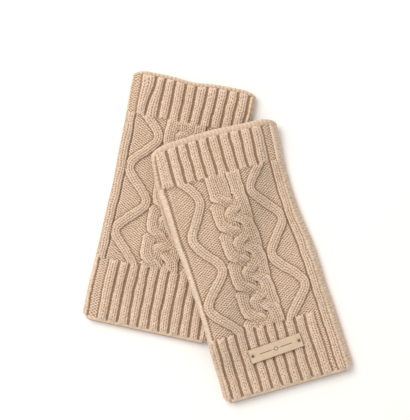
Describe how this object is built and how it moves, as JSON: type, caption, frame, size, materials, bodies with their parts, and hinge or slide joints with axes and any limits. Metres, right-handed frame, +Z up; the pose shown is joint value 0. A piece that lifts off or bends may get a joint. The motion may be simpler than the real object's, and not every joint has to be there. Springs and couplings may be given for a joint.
{
  "type": "pair of fingerless gloves",
  "caption": "Pair of flat-laid cable-knit fingerless gloves with ribbed knuckle and wrist cuffs, thumb slits and a plain leather label, one glove resting across the other.",
  "frame": {"origin": "under the middle of the pair's bounding box, on the surface that the gloves lie on", "axes": "+Z up, +Y towards the knuckle ends of both gloves, +X towards the right glove"},
  "size_m": [0.2, 0.2444, 0.0199],
  "materials": {
    "ribbing": "soft brushed wool, knit-two purl-one ribbing",
    "cable": "soft brushed wool, cables on reverse stockinette",
    "palm": "soft brushed wool, plain stockinette",
    "edge": "soft brushed wool, bound-off edge",
    "leather": "smooth pale vegetable-tanned leather",
    "tack": "dark waxed thread"
  },
  "bodies": {
    "left_glove": {"left_knuckle_edge_back": "edge", "left_knuckle_edge_palm": "edge", "left_knuckle_rib_back": "ribbing", "left_knuckle_rib_palm": "ribbing", "left_hand_back": "cable", "left_hand_palm": "palm", "left_wrist_rib_back": "ribbing", "left_wrist_rib_palm": "ribbing", "left_outer_side_hand": "cable", "left_outer_side_wrist": "ribbing", "left_thumb_side_knuckle": "ribbing", "left_thumb_side_hand": "cable", "left_thumb_side_wrist": "ribbing", "left_thumb_slit_edge_back": "edge", "left_thumb_slit_edge_palm": "edge"},
    "right_hand": {"right_knuckle_edge_back": "edge", "right_knuckle_edge_palm": "edge", "right_knuckle_rib_back": "ribbing", "right_knuckle_rib_palm": "ribbing", "right_hand_back": "cable", "right_hand_palm": "palm", "right_outer_side_hand": "cable", "right_thumb_side_knuckle": "ribbing", "right_thumb_side_hand": "cable", "right_thumb_slit_edge_back": "edge", "right_thumb_slit_edge_palm": "edge"},
    "right_wrist": {"right_wrist_rib_back": "ribbing", "right_wrist_rib_palm": "ribbing", "right_outer_side_wrist": "ribbing", "right_thumb_side_wrist": "ribbing", "label": "leather", "label_tack_thumb_side": "tack", "label_tack_outer_side": "tack"}
  },
  "joints": [
    {"name": "right_lift", "type": "slide", "parent": "left_glove", "child": "right_hand", "axis": [0, 0, 1], "range_m": [0, 0.08]},
    {"name": "right_wrist_bend", "type": "hinge", "parent": "right_hand", "child": "right_wrist", "pos_m": [0.0395, -0.0652, 0.0202], "axis": [-0.9588, -0.284, 0], "range_deg": [0, 50]}
  ]
}
